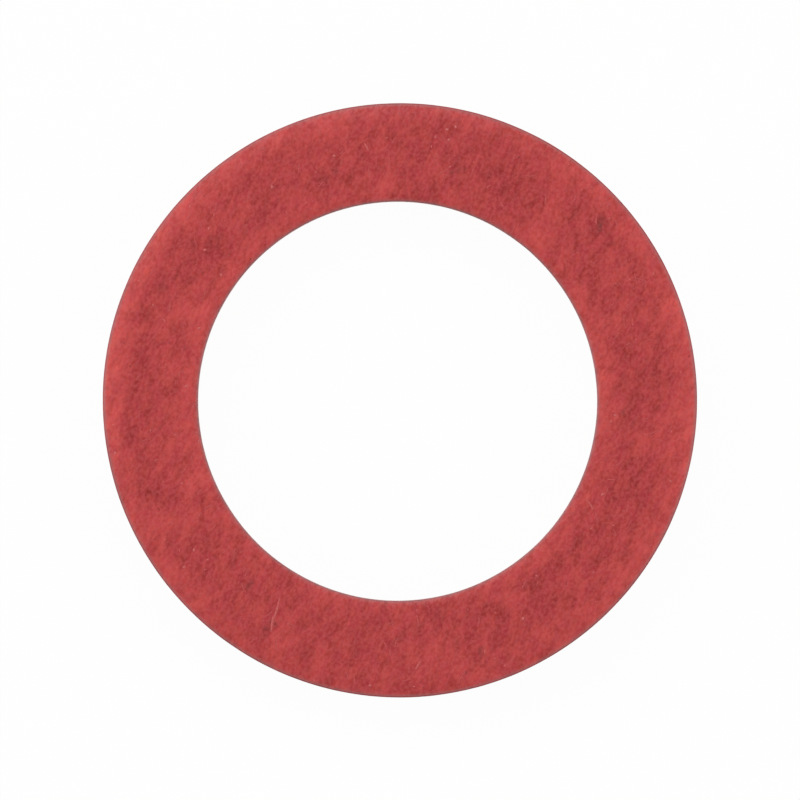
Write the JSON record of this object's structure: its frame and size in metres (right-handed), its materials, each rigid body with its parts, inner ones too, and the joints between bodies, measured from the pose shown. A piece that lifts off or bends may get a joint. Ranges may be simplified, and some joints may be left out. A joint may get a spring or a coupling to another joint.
{
  "type": "fibre sealing washer",
  "caption": "Flat round sealing washer stamped from red vulcanised fibre sheet: a plain ring with a central hole that seals a threaded joint when it is clamped.",
  "frame": {"origin": "axis of the hole, in the lower face; the outside's own axis is 0.067 mm off it along X and 0.027 mm along Y, as punched", "axes": "+Z along the hole's axis, up through the face with the rolled-over edges; +X is to the right and +Y up in the picture"},
  "size_m": [0.018, 0.018, 0.0015],
  "materials": {
    "vulcanised_fibre": "matte"
  },
  "bodies": {
    "root": {"sealing_washer": "vulcanised_fibre"}
  },
  "joints": []
}
